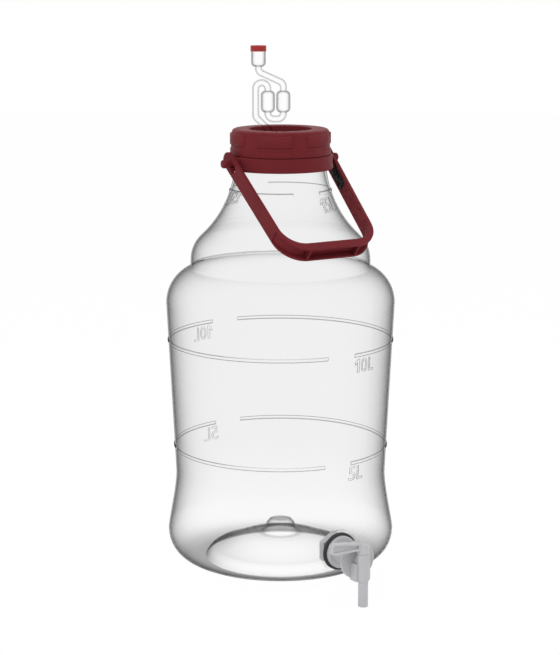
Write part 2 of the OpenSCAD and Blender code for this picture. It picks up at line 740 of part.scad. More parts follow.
// Flat webs that stiffen the gaps between the tubes
module airlock_webs() {
    rotate([90, 0, 0]) translate([0, 0, -web_t / 2]) linear_extrude(height = web_t) {
        polygon([[-cup_x - tube_r, loop_z], [-cup_x - tube_r, cup_z + 2], [-cup_x, cup_z + 2],
                 [-cup_x, cross_z], [bulb2_x, cross_end_z], [bulb2_x, bulbs_z + bulb_l - 2],
                 [bulb1_x, bulbs_z + bulb_l - 2], [bulb1_x, loop_z]]);
        polygon([[bulb1_x, bulbs_z + 4], [bulb1_x, bulbs_z + bulb_l - 4],
                 [bulb2_x, bulbs_z + bulb_l - 4], [bulb2_x, bulbs_z + 4]]);
    }
}

module airlock() {
    color(clear_pet) rotate([0, 0, airlock_yaw]) difference() {
        union() {
            airlock_passages(0);
            airlock_webs();
        }
        airlock_passages(tube_wall);
        translate([0, 0, well_z - stem_below - cut]) cylinder(r = tube_r - tube_wall, h = 2 * cut);
    }
}

module airlock_cap() {
    inner_r = cup_r + dust_cap_clear;
    outer_r = inner_r + dust_cap_wall;
    foot_z = cup_top_z + dust_cap_top - dust_cap_h;
    top_z = cup_top_z + dust_cap_top;
    color(bright_red) rotate([0, 0, airlock_yaw]) translate([-cup_x, 0, 0]) difference() {
        rotate_extrude() polygon([[0, cup_top_z], [inner_r, cup_top_z], [inner_r, foot_z],
            [outer_r, foot_z], [outer_r, top_z - 0.6], [outer_r - 0.6, top_z], [0, top_z]]);
        for (i = [0 : vent_count - 1]) rotate([0, 0, i * 360 / vent_count])
            translate([cup_r / 2, 0, cup_top_z - cut]) cylinder(d = vent_d, h = dust_cap_top + 2 * cut);
    }
}

// ---- tap --------------------------------------------------------------------------------------

// Children drawn along +Z from the seat come out along the tap's axis
module on_tap_axis(out) {
    translate([0, -seat_y - out, tap_z]) rotate([90, 0, 0]) children();
}

module tap_ring(r, bore, out, t) {
    on_tap_axis(out) difference() {
        cylinder(r = r, h = t);
        translate([0, 0, -cut]) cylinder(r = bore, h = t + 2 * cut);
    }
}

disc_back = disc_out - disc_t;
barrel_y = disc_out + barrel_out;
nut_out = -wall - inner_gasket_t - nut_t;
barrel_top_z = tap_z + barrel_up;
barrel_foot_z = tap_z - barrel_down;
plug_hole_r = plug_r + plug_gap;
plug_foot_z = tap_z - plug_down;

module tap_body() {
    stem_in = nut_out - stem_past;
    color(tap_grey) difference() {
        union() {
            on_tap_axis(stem_in) cylinder(r = stem_r, h = gasket_t - stem_in + cut);
            on_tap_axis(gasket_t) rotate_extrude() polygon([[0, 0], [flange_r - 0.5, 0],
                [flange_r, 0.5], [flange_r, flange_l - 0.8], [flange_r - 0.8, flange_l],
                [body_tube_r + 2, flange_l], [body_tube_r, flange_l + 2],
                [body_tube_r, disc_back - 1.5], [body_tube_r + 1.5, disc_back], [0, disc_back]]);
            on_tap_axis(disc_back) cylinder(r = disc_r, h = disc_t);
            // boss and block that join the disc to the barrel
            on_tap_axis(disc_out - cut) cylinder(r = way_r + 2.4, h = barrel_out + cut);
            translate([-block_x, -seat_y - barrel_y, barrel_foot_z + 0.5])
                cube([2 * block_x, barrel_out + disc_t / 2, barrel_down - block_drop - 0.5]);
            translate([0, -seat_y - barrel_y, 0]) {
                rotate_extrude() polygon([[0, barrel_foot_z], [spout_r + 0.3, barrel_foot_z],
                    [barrel_r, barrel_foot_z + 1.8], [barrel_r, barrel_top_z - 0.3],
                    [barrel_r - 0.3, barrel_top_z], [0, barrel_top_z]]);
                translate([0, 0, barrel_foot_z - spout_l]) cylinder(r = spout_r, h = spout_l + cut);
            }
        }
        on_tap_axis(stem_in - cut) cylinder(r = way_r + 0.6, h = barrel_y - stem_in + cut - 2);
        translate([0, -seat_y - barrel_y, 0]) {
            translate([0, 0, plug_foot_z])
                cylinder(r = plug_hole_r, h = barrel_top_z - plug_foot_z + cut);
            translate([0, 0, barrel_foot_z - spout_l - cut])
                cylinder(r = spout_r - spout_wall, h = plug_foot_z - barrel_foot_z + spout_l + 2 * cut);
        }
    }
}

module tap_outer_gasket() {
    color(black_rubber) tap_ring(gasket_r, stem_r + stem_room, 0, gasket_t);
}

module tap_inner_gasket() {
    color(black_rubber) tap_ring(nut_r - 2, stem_r + stem_room, -wall - inner_gasket_t,
                                 inner_gasket_t);
}

module tap_nut() {
    color(tap_grey) on_tap_axis(nut_out) difference() {
        rotate([0, 0, 30]) cylinder(r = nut_r, h = nut_t, $fn = 6);
        translate([0, 0, -cut]) cylinder(r = stem_r + nut_clear, h = nut_t + 2 * cut);
    }
}

module tap_lever() {
    hub_z = barrel_top_z + hub_gap;
    blade_z = hub_z + lever_foot;
    hub_r = barrel_r;
    near_x = -hub_r * 0.6;
    outline = [[near_x, blade_z], [-lever_l, blade_z], [-lever_l, blade_z + lever_tip_h],
               [near_x, blade_z + lever_near_h]];
    inside = [[-hub_r - lever_rim * 0.4, blade_z + lever_rim], [-lever_l + lever_rim, blade_z + lever_rim],
              [-lever_l + lever_rim, blade_z + lever_tip_h - lever_rim],
              [-hub_r - lever_rim * 0.4, blade_z + lever_near_h - lever_rim + 0.6]];
    color(tap_grey) translate([0, -seat_y - barrel_y, 0]) difference() {
        union() {
            // plug, and the domed hub over the barrel
            translate([0, 0, plug_foot_z + hub_gap])
                cylinder(r = plug_r, h = hub_z - plug_foot_z);
            translate([0, 0, hub_z]) rotate_extrude() polygon(concat([[0, 0], [hub_r, 0]],
                [for (i = [0 : 8]) let (a = 90 * i / 8)
                    [hub_r * cos(a), hub_h - 3.6 * (1 - sin(a))]]));
            rotate([90, 0, 0]) translate([0, 0, -lever_t / 2]) linear_extrude(height = lever_t)
                polygon(rounded(outline, [0, 3.4, 4.4, 0]));
        }
        // recess in the front of the blade
        rotate([90, 0, 0]) translate([0, 0, lever_t / 2 - lever_recess])
            linear_extrude(height = lever_recess + cut) polygon(rounded(inside, [0, 1.2, 2.2, 0]));
        // angled water way: up from below, out to the side
        translate([0, 0, plug_foot_z - cut]) cylinder(r = way_r, h = tap_z - plug_foot_z + cut);
        translate([0, 0, tap_z]) rotate([0, 90, 0]) cylinder(r = way_r, h = plug_r + cut);
        translate([0, 0, tap_z]) sphere(r = way_r);
    }
}

bottle();
carry_collar();
bail_handle();
screw_cap();
cap_seal();
airlock_grommet();
airlock();
airlock_cap();
tap_body();
tap_outer_gasket();
tap_inner_gasket();
tap_nut();
tap_lever();
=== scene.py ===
"""Clear 15 litre bottle with a carrying handle, a screw cap, an airlock and a tap.

Sizes are in metres and angles in degrees, where nothing else is said.
"""
import logging
import math
from collections.abc import Callable
from dataclasses import dataclass
from enum import Enum

import bmesh
import bpy
from mathutils import Matrix, Vector
from mathutils.bvhtree import BVHTree


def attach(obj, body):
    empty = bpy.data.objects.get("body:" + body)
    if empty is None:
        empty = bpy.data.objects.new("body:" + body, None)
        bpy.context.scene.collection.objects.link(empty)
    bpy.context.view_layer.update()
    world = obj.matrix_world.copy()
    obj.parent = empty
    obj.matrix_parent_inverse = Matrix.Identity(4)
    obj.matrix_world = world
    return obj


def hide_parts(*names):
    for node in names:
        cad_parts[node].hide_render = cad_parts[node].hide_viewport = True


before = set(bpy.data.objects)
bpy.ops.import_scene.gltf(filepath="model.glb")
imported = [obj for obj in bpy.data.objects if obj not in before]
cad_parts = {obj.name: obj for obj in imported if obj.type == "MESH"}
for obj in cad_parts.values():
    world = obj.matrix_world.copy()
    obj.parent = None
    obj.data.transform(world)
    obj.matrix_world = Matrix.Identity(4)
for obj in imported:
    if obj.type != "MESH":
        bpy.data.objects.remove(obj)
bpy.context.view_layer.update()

log = logging.getLogger("carboy")
MM = 0.001
Colour = tuple[float, float, float]
Point = tuple[float, float]
Span = tuple[float, float]
Value = bpy.types.NodeSocket | float
Setting = Value | str | tuple[float, ...]


# ---- node helpers ---------------------------------------------------------------------------

def new_material(name: str) -> tuple[bpy.types.Material, bpy.types.NodeTree]:
    """Make an empty node material.

    Args:
        name: Name of the material.

    Returns:
        The material and its node tree, with only an output node in it.
    """
    material = bpy.data.materials.new(name)
    material.use_nodes = True
    tree = material.node_tree
    tree.nodes.clear()
    tree.nodes.new("ShaderNodeOutputMaterial")
    return material, tree


def add_node(tree: bpy.types.NodeTree, kind: str, **settings: Setting) -> bpy.types.Node:
    """Add a node, set its attributes and fill its inputs.

    Args:
        tree: Tree that takes the node.
        kind: Node type without the ShaderNode prefix.
        settings: Attributes by their own names, and inputs as in_ with the label, which has
            _ for each space, or as in_ with the input's number.

    Returns:
        The new node.
    """
    node = tree.nodes.new("ShaderNode" + kind)
    for key, value in settings.items():
        if key.startswith("in_"):
            label = key[3:].replace("_", " ")
            socket = node.inputs[int(label)] if label.isdigit() else node.inputs[label]
            if isinstance(value, bpy.types.NodeSocket):
                tree.links.new(value, socket)
            else:
                socket.default_value = value
        else:
            setattr(node, key, value)
    return node


def maths(tree: bpy.types.NodeTree, operation: str, *values: Value,
          clamp: bool = False) -> bpy.types.NodeSocket:
    """Add a Math node over sockets or numbers and give its result."""
    settings = {f"in_{i}": value for i, value in enumerate(values)}
    return add_node(tree, "Math", operation=operation, use_clamp=clamp, **settings).outputs[0]


def vector_maths(tree: bpy.types.NodeTree, operation: str,
                 *values: Setting) -> bpy.types.NodeOutputs:
    """Add a Vector Math node over sockets or vectors and give its outputs."""
    settings = {f"in_{i}": value for i, value in enumerate(values)}
    return add_node(tree, "VectorMath", operation=operation, **settings).outputs


def ramp(tree: bpy.types.NodeTree, value: bpy.types.NodeSocket, source: Span = (0.0, 1.0),
         target: Span = (0.0, 1.0), smooth: bool = False) -> bpy.types.NodeSocket:
    """Map one range of a value onto another, held at both ends.

    Args:
        tree: Tree that takes the node.
        value: Value to map.
        source: Ends of the range that the value comes from.
        target: What these two ends become.
        smooth: True when the change eases in and out.

    Returns:
        The mapped value.
    """
    node = add_node(tree, "MapRange", interpolation_type="SMOOTHSTEP" if smooth else "LINEAR",
                    in_Value=value, in_From_Min=source[0], in_From_Max=source[1],
                    in_To_Min=target[0], in_To_Max=target[1])
    return node.outputs["Result"]


def mix_shaders(tree: bpy.types.NodeTree, share: bpy.types.NodeSocket, first: bpy.types.Node,
                second: bpy.types.Node) -> bpy.types.NodeSocket:
    """Mix two shaders.

    Args:
        tree: Tree that takes the node.
        share: How much of the second shader is shown, 0 to 1.
        first: Node of the first shader.
        second: Node of the second shader.

    Returns:
        The mixed shader.
    """
    return add_node(tree, "MixShader", in_0=share, in_1=first.outputs[0],
                    in_2=second.outputs[0]).outputs[0]


def surface(tree: bpy.types.NodeTree, shader: bpy.types.NodeSocket) -> None:
    """Join a shader to the tree's material output."""
    tree.links.new(shader, tree.nodes["Material Output"].inputs["Surface"])


def rgba(colour: Colour) -> tuple[float, float, float, float]:
    """Give a colour with full opacity."""
    return (*colour, 1.0)


def grey(level: float) -> tuple[float, float, float, float]:
    """Give a plain grey with full opacity."""
    return rgba((level, level, level))


def around(value: float, share: float) -> Span:
    """Give the range that lies a share of a value under and over it."""
    return value * (1 - share), value * (1 + share)


# ---- shared effects -------------------------------------------------------------------------

FLAT = (1.0, 1.0, 0.0)                  # takes the height out of a place
# where the painted dark lines of shade on the beads fall
BEAD_MIDDLES = (126.45 * MM, 241.75 * MM, 401.55 * MM)
BEAD_REACH = 2.8 * MM                   # how far a bead's ends reach from its middle
END_SLANT = (0.16, 0.5)                 # slant at which an end starts to show and is dark
LINE_OFFSET = 1.7 * MM                  # from the middle of a lower bead to its thin lines
LINE_HALF = 0.5 * MM                    # half the height of such a line
LINE_SLANT = (0.02, 0.10)               # slant at which it starts to show and is dark
FLOW_STRETCH = (1.0, 1.0, 0.35)         # draws the flow marks out along the height
RUB_SPAN = (0.25, 0.75)


def effect(name: str, inputs: dict[str, str], outputs: dict[str, str]
           ) -> tuple[bpy.types.NodeTree, bpy.types.NodeOutputs, bpy.types.NodeInputs]:
    """Start a node group with its sockets.

    Args:
        name: Name of the group, which is that of the function that makes it.
        inputs: Kind of each input socket, Float, Vector or Color, by its label.
        outputs: Kind of each output socket by its label.

    Returns:
        The group, the outputs of its start node and the inputs of its end node.
    """
    group = bpy.data.node_groups.new(name, "ShaderNodeTree")
    for sockets, way in ((inputs, "INPUT"), (outputs, "OUTPUT")):
        for label, kind in sockets.items():
            group.interface.new_socket(label, in_out=way, socket_type="NodeSocket" + kind)
    start = group.nodes.new("NodeGroupInput")
    end = group.nodes.new("NodeGroupOutput")
    return group, start.outputs, end.inputs


def wall_tint() -> bpy.types.NodeTree:
    """Make the effect that works out how much light a clear wall lets through at a slant.

    Returns:
        A group with inputs Facing, Loss, Rim, Power and Shade, which darkens what comes through
        as painted shade, and an output Colour.
    """
    group, given, result = effect("wall_tint", {"Facing": "Float", "Loss": "Float",
                                                "Rim": "Float", "Power": "Float",
                                                "Shade": "Float"}, {"Colour": "Color"})
    steep = maths(group, "POWER", given["Facing"], given["Power"])
    rim = maths(group, "MULTIPLY", steep, given["Rim"])
    loss = maths(group, "ADD", rim, given["Loss"])
    share = maths(group, "DIVIDE", maths(group, "SUBTRACT", 1.0, loss),
                  maths(group, "ADD", 1.0, loss), clamp=True)
    # painted shade: Shade darkens what the wall lets through
    share = maths(group, "MULTIPLY", share, maths(group, "SUBTRACT", 1.0, given["Shade"]),
                  clamp=True)
    colour = add_node(group, "CombineColor", in_Red=share, in_Green=share, in_Blue=share)
    group.links.new(colour.outputs[0], result["Colour"])
    return group


def bead_edges() -> bpy.types.NodeTree:
    """Make the effect that finds the steep edges of the graduation beads.

    Returns:
        A group with inputs Place and Normal, and outputs Mask, 1 on an edge, and Side,
        below 0 on the wall that is seen from inside.
    """
    group, given, result = effect("bead_edges", {"Place": "Vector", "Normal": "Vector"},
                                  {"Mask": "Float", "Side": "Float"})
    flat = vector_maths(group, "MULTIPLY", given["Place"], FLAT)["Vector"]
    out = vector_maths(group, "NORMALIZE", flat)["Vector"]
    facing = vector_maths(group, "DOT_PRODUCT", out, given["Normal"])["Value"]
    slant = maths(group, "SUBTRACT", 1.0, maths(group, "MULTIPLY", facing, facing))
    height = add_node(group, "SeparateXYZ", in_0=given["Place"]).outputs["Z"]
    offs = [maths(group, "ABSOLUTE", maths(group, "SUBTRACT", height, middle))
            for middle in BEAD_MIDDLES]
    low = maths(group, "MINIMUM", offs[0], offs[1])
    band = maths(group, "LESS_THAN", maths(group, "MINIMUM", low, offs[2]), BEAD_REACH)
    ends = maths(group, "MULTIPLY", ramp(group, slant, END_SLANT, smooth=True), band)
    line = maths(group, "MULTIPLY", ramp(group, slant, LINE_SLANT, smooth=True),
                 maths(group, "COMPARE", low, LINE_OFFSET, LINE_HALF))
    group.links.new(maths(group, "MAXIMUM", ends, line), result["Mask"])
    group.links.new(facing, result["Side"])
    return group


def moulded_skin() -> bpy.types.NodeTree:
    """Make the effect of a moulded surface: fine grain, broad flow marks and rubbed spots.

    Returns:
        A group with inputs Place and Grain, and outputs Height, Flow and Rub.
    """
    group, given, result = effect("moulded_skin", {"Place": "Vector", "Grain": "Float"},
                                  {"Height": "Float", "Flow": "Float", "Rub": "Float"})
    grain = add_node(group, "TexNoise", in_Vector=given["Place"], in_Scale=given["Grain"],
                     in_Detail=4.0, in_Roughness=0.6)
    stretched = vector_maths(group, "MULTIPLY", given["Place"], FLOW_STRETCH)["Vector"]
    flow = add_node(group, "TexNoise", in_Vector=stretched, in_Scale=42.0, in_Detail=2.0,
                    in_Distortion=0.6)
    spots = add_node(group, "TexVoronoi", feature="SMOOTH_F1", in_Vector=given["Place"],
                     in_Scale=130.0)
    group.links.new(grain.outputs["Fac"], result["Height"])
    group.links.new(flow.outputs["Fac"], result["Flow"])
    group.links.new(ramp(group, spots.outputs["Distance"], RUB_SPAN), result["Rub"])
    return group


def use_effect(tree: bpy.types.NodeTree, maker: Callable[[], bpy.types.NodeTree],
               **values: Value) -> bpy.types.NodeOutputs:
    """Put a shared effect into a material, and make it on its first use.

    Args:
        tree: Node tree of the material.
        maker: Function that makes the effect.
        values: Socket or number for each input, by its label.

    Returns:
        The outputs of the effect.
    """
    node = tree.nodes.new("ShaderNodeGroup")
    node.node_tree = bpy.data.node_groups.get(maker.__name__) or maker()
    for label, value in values.items():
        if isinstance(value, bpy.types.NodeSocket):
            tree.links.new(value, node.inputs[label])
        else:
            node.inputs[label].default_value = value
    return node.outputs


# ---- finishes -------------------------------------------------------------------------------

@dataclass(frozen=True)
class ClearFinish:
    """Clear plastic that goes grey where its wall turns away from the eye."""

    name: str
    loss: float = 0.034
    rim: float = 0.966
    power: float = 4.4
    # painted shade that darkens the whole wall evenly, 0 for none
    shade: float = 0.0
    ior: float = 1.012
    shadow: float = 0.95
    drift: float = 0.1
    drift_scale: float = 14.0
    worn: float = 0.015

    def tint_values(self, tree: bpy.types.NodeTree, place: bpy.types.NodeSocket,
                    facing: bpy.types.NodeSocket, loss: bpy.types.NodeSocket
                    ) -> dict[str, Value]:
        """Give the values of wall_tint that a kind of wall may vary over its surface.

        Args:
            tree: Node tree of the material.
            place: Place on the object.
            facing: How far the wall turns from the eye, 0 to 1.
            loss: What the wall takes from light that goes straight through.

        Returns:
            The values of Loss, Power and Shade.
        """
        return {"Loss": loss, "Power": self.power, "Shade": self.shade}

    def build(self) -> bpy.types.Material:
        """Make the material.

        Returns:
            The material.
        """
        material, tree = new_material(self.name)
        place = add_node(tree, "TexCoord").outputs["Object"]
        facing = add_node(tree, "LayerWeight", in_Blend=0.5).outputs["Facing"]
        drift = add_node(tree, "TexNoise", in_Vector=place, in_Scale=self.drift_scale,
                         in_Detail=2.0).outputs["Fac"]
        loss = ramp(tree, drift, target=around(self.loss, self.drift))
        tint = use_effect(tree, wall_tint, Facing=facing, Rim=self.rim,
                          **self.tint_values(tree, place, facing, loss))
        skin = use_effect(tree, moulded_skin, Place=place)
        glass = add_node(tree, "BsdfPrincipled", in_Base_Color=tint["Colour"],
                         in_Roughness=ramp(tree, skin["Rub"], target=(0.0, self.worn)),
                         in_IOR=self.ior, in_Transmission_Weight=1.0)
        path = add_node(tree, "LightPath").outputs
        unseen = maths(tree, "MAXIMUM", path["Is Shadow Ray"], path["Is Diffuse Ray"])
        clear = add_node(tree, "BsdfTransparent", in_Color=grey(self.shadow))
        surface(tree, mix_shaders(tree, unseen, glass, clear))
        return material


@dataclass(frozen=True)
class BottleFinish(ClearFinish):
    """The bottle's wall: clearer at its foot as painted light, greyer there and round the boss as
    painted shade, with painted dark lines on its beads and its crease.
    """

    # painted light: from 100 mm down to 25 mm the wall lets ever more through, standing in for
    # the white floor's reflection
    pale_span: Span = (25.0 * MM, 100.0 * MM)
    pale_loss: float = 0.12
    # painted shade: below 22 mm, and within 27 mm of the axis, the wall greys sooner on slants,
    # standing in for refraction in the base
    foot_span: Span = (4.0 * MM, 22.0 * MM)
    foot_power: float = 2.2
    boss_span: Span = (20.0 * MM, 27.0 * MM)
    boss_power: float = 2.9
    # painted shade: dark lines on the beads and the crease, standing in for refraction at their
    # steep flanks
    bead_turn: Span = (0.02, 0.2)
    bead_share: float = 0.25
    crease_z: float = 320.8 * MM
    crease_half: float = 1.0 * MM
    crease_share: float = 0.45
    edge_shade: float = 0.78

    def tint_values(self, tree: bpy.types.NodeTree, place: bpy.types.NodeSocket,
                    facing: bpy.types.NodeSocket, loss: bpy.types.NodeSocket
                    ) -> dict[str, Value]:
        """Give the values of wall_tint, with the painted light and shade at the foot and the
        boss, and the painted dark lines, in them.

        Args:
            tree: Node tree of the material.
            place: Place on the object.
            facing: How far the wall turns from the eye, 0 to 1.
            loss: What the wall takes from light that goes straight through.

        Returns:
            The values of Loss, Power and Shade.
        """
        height = add_node(tree, "SeparateXYZ", in_0=place).outputs["Z"]
        # painted light towards the foot; painted shade on slants at the foot and round the boss
        pale = ramp(tree, height, self.pale_span, (self.pale_loss, 1.0))
        foot = ramp(tree, height, self.foot_span, (self.foot_power, self.power))
        flat = vector_maths(tree, "MULTIPLY", place, FLAT)["Vector"]
        reach = vector_maths(tree, "LENGTH", flat)["Value"]
        boss = ramp(tree, reach, self.boss_span, (self.boss_power, self.power))
        return {"Loss": maths(tree, "MULTIPLY", loss, pale),
                "Power": maths(tree, "MINIMUM", foot, boss),
                "Shade": self.dark_lines(tree, place, facing, height)}

    def dark_lines(self, tree: bpy.types.NodeTree, place: bpy.types.NodeSocket,
                   facing: bpy.types.NodeSocket, height: bpy.types.NodeSocket
                   ) -> bpy.types.NodeSocket:
        """Paint dark lines of shade on the edges of the beads, and on the crease where it is seen
        on the far wall, standing in for refraction at their steep flanks.

        Args:
            tree: Node tree of the material.
            place: Place on the object.
            facing: How far the wall turns from the eye, 0 to 1.
            height: Height of the place.

        Returns:
            The painted shade of the lines, 0 between them.
        """
        shape = add_node(tree, "NewGeometry").outputs
        edges = use_effect(tree, bead_edges, Place=place, Normal=shape["Normal"])
        turned = ramp(tree, facing, self.bead_turn, (self.bead_share, 1.0))
        seen = maths(tree, "MAXIMUM", shape["Backfacing"], turned)
        beads = maths(tree, "MULTIPLY", edges["Mask"], seen)
        crease = maths(tree, "COMPARE", height, self.crease_z, self.crease_half)
        far = maths(tree, "LESS_THAN", edges["Side"], 0.0)
        crease_shade = maths(tree, "MULTIPLY", maths(tree, "MULTIPLY", crease, far), self.crease_share)
        return maths(tree, "MULTIPLY", maths(tree, "MAXIMUM", beads, crease_shade), self.edge_shade)


@dataclass(frozen=True)
class MouldedFinish:
    """Coloured moulded plastic or rubber with grain, flow marks and rubbed spots."""

    name: str
    colour: Colour
    pale: Colour
    roughness: float = 0.38
    wear: float = 0.12
    specular: float = 0.2
    grain: float = 900.0
    relief: float = 0.08
    relief_depth: float = 0.4 * MM
    flow_span: Span = (0.3, 0.7)
    bleed: float = 0.0
    bleed_reach: float = 4.0 * MM

    def build(self) -> bpy.types.Material:
        """Make the material.

        Returns:
            The material.
        """
        material, tree = new_material(self.name)
        place = add_node(tree, "TexCoord").outputs["Object"]
        skin = use_effect(tree, moulded_skin, Place=place, Grain=self.grain)
        flow = ramp(tree, skin["Flow"], self.flow_span)
        colour = add_node(tree, "Mix", data_type="RGBA", in_0=flow, in_6=rgba(self.colour),
                          in_7=rgba(self.pale)).outputs[2]
        rough = ramp(tree, skin["Rub"], target=around(self.roughness, self.wear))
        bump = add_node(tree, "Bump", in_Strength=self.relief, in_Distance=self.relief_depth,
                        in_Height=skin["Height"])
        shader = add_node(tree, "BsdfPrincipled", in_Base_Color=colour, in_Roughness=rough,
                          in_Normal=bump.outputs[0], in_Specular_IOR_Level=self.specular,
                          in_Subsurface_Weight=self.bleed,
                          in_Subsurface_Radius=(self.bleed_reach,) * 3,
                          in_Subsurface_Scale=1.0)
        surface(tree, shader.outputs[0])
        return material


CLEAR_PET = BottleFinish("clear_pet")
# painted shade: the raised marks are darkened throughout, standing in for refraction at their
# flanks
RAISED_PET = ClearFinish("raised_pet", loss=0.02, shade=0.4)
CLEAR_AIRLOCK = ClearFinish("clear_airlock", loss=0.004, rim=0.996, power=2.3, ior=1.006)
DARK_RED = MouldedFinish("dark_red_plastic", (0.130, 0.0150, 0.0190), (0.147, 0.0172, 0.0216),
                         roughness=0.5, specular=0.06)
BRIGHT_RED = MouldedFinish("bright_red_plastic", (0.31, 0.028, 0.028), (0.35, 0.034, 0.034),
                           specular=0.12)
TAP_GREY = MouldedFinish("tap_plastic", (0.47, 0.47, 0.485), (0.50, 0.50, 0.515),
                         roughness=0.34, grain=600.0, relief=0.05, bleed=0.25)
RUBBER = MouldedFinish("black_rubber", (0.046, 0.046, 0.050), (0.058, 0.058, 0.062),
                       roughness=0.7, grain=1400.0, relief=0.2)
# near-black finish of the thin sheets on the inner faces of the arms
ARM_SHEET_BLACK = MouldedFinish("arm_sheet_black", (0.014, 0.013, 0.013), (0.019, 0.018, 0.018),
                           roughness=0.75, specular=0.1, grain=1400.0, relief=0.2)
NODE_FINISHES: dict[str, ClearFinish | MouldedFinish] = {
    "bottle": CLEAR_PET, "airlock": CLEAR_AIRLOCK, "carry_collar": DARK_RED,
    "bail_handle": DARK_RED, "screw_cap": DARK_RED, "cap_seal": RUBBER,
    "airlock_grommet": RUBBER, "airlock_cap": BRIGHT_RED, "tap_body": TAP_GREY,
    "tap_nut": TAP_GREY, "tap_lever": TAP_GREY, "tap_outer_gasket": RUBBER,
    "tap_inner_gasket": RUBBER}


# ---- forms ----------------------------------------------------------------------------------

WELD = 1e-7                             # points closer than this, in metres, become one


@dataclass
class Station:
    """One place along a swept ridge: middle, outward side, and how wide and high it is."""

    middle: Vector
    out: Vector
    width: float = 1.0
    height: float = 1.0


def sweep(bm: bmesh.types.BMesh, stations: list[Station], section: list[Point],
          closed: bool) -> None:
    """Sweep a section along stations.

    Args:
        bm: Mesh that takes the ridge.
        stations: Places along the ridge, in metres.
        section: Points of the section, across and outward, in metres.
        closed: True when the ridge runs back into its own start.
    """
    rings = []
    count = len(stations)
    for i, place in enumerate(stations):
        after = stations[(i + 1) % count if closed else min(i + 1, count - 1)].middle
        before = stations[(i - 1) % count if closed else max(i - 1, 0)].middle
        along = (after - before).normalized()
        across = along.cross(place.out).normalized()
        rings.append([bm.verts.new(place.middle + across * u * place.width
                                   + place.out * (v * place.height if v > 0 else v))
                      for u, v in section])
    for one, two in zip(rings, rings[1:] + rings[:1] if closed else rings[1:]):
        for j in range(len(section)):
            k = (j + 1) % len(section)
            bm.faces.new((one[j], one[k], two[k], two[j]))
    if not closed:
        bm.faces.new(rings[0])
        bm.faces.new(rings[-1][::-1])


def mirrored(half: list[Point]) -> list[Point]:
    """Give a whole section from its left half."""
    return half + [(-u, v) for u, v in reversed(half)]


def spoke(degrees: float) -> Vector:
    """Give the level unit vector that stands at an angle from +X."""
    angle = math.radians(degrees)
    return Vector((math.cos(angle), math.sin(angle), 0.0))


def search_tree(name: str) -> BVHTree:
    """Give the search tree of a carried-over node's faces."""
    return BVHTree.FromObject(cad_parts[name], bpy.context.evaluated_depsgraph_get())


def add_object(name: str, data: bpy.types.ID) -> bpy.types.Object:
    """Put an object into the scene.

    Args:
        name: Name of the object.
        data: What it shows: a mesh, a lamp or a camera.

    Returns:
        The object.
    """
    thing = bpy.data.objects.new(name, data)
    bpy.context.collection.objects.link(thing)
    return thing


def mesh_object(name: str, bm: bmesh.types.BMesh, material: bpy.types.Material
                ) -> bpy.types.Object:
    """Put a mesh into the scene.

    Args:
        name: Name of the object and its mesh.
        bm: The mesh, in place, which is used up.
        material: Its finish.

    Returns:
        The object.
    """
    mesh = bpy.data.meshes.new(name)
    bm.to_mesh(mesh)
    bm.free()
    mesh.materials.append(material)
    return add_object(name, mesh)


def finished(name: str, bm: bmesh.types.BMesh, body: str,
             material: bpy.types.Material, smooth: bool = True) -> bpy.types.Object:
    """Turn a mesh into a piece that rides on a body.

    Args:
        name: Name of the piece.
        bm: Its mesh, in place, which is used up.
        body: Body that it rides on.
        material: Its finish.
        smooth: True for smooth shading.

    Returns:
        The piece.
    """
    bmesh.ops.remove_doubles(bm, verts=bm.verts, dist=WELD)
    bmesh.ops.recalc_face_normals(bm, faces=bm.faces)
    for face in bm.faces:
        face.smooth = smooth
    piece = mesh_object(name, bm, material)
    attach(piece, body)
    log.info("%s: %d faces on %s", name, len(piece.data.polygons), body)
    return piece


# ---- labels on the wall ---------------------------------------------------------------------

class Face(Enum):
    """Side of the bottle that carries a column of marks, with its turn from -Y in radians."""

    FRONT = 0.0
    BACK = math.pi


@dataclass
class Wall:
    """The outside of the bottle, found from its mesh."""

    ray_start: float = 0.3

    def __post_init__(self) -> None:
        """Make the search tree."""
        self.tree: BVHTree = search_tree("bottle")

    def at(self, angle: float, height: float) -> tuple[Vector, Vector]:
        """Give the outer point and outward side of the wall.

        Args:
            angle: Direction in radians from -Y towards +X.
            height: Height in metres.

        Returns:
            The point and the unit vector out of the wall.
        """
        way = Vector((math.sin(angle), -math.cos(angle), 0.0))
        start = way * self.ray_start
        start.z = height
        point, normal, _, _ = self.tree.ray_cast(start, -way)
        return point, normal if normal.dot(way) > 0 else -normal


CELLS = {"1": 0.68, "0": 1.0, "5": 1.0, "L": 0.9}      # widths, as shares of a whole cell
CELL_GAP = 0.3
FIGURE_ONE = ((0.54, 0.0), (1.0, 0.0), (1.0, 1.0), (0.66, 1.0), (0.0, 0.76), (0.0, 0.56),
              (0.54, 0.75))             # corners, as shares of the figure's cell
CURVE_STEPS = 4                         # points along each curve of a character
FONT_WELD = 1e-5


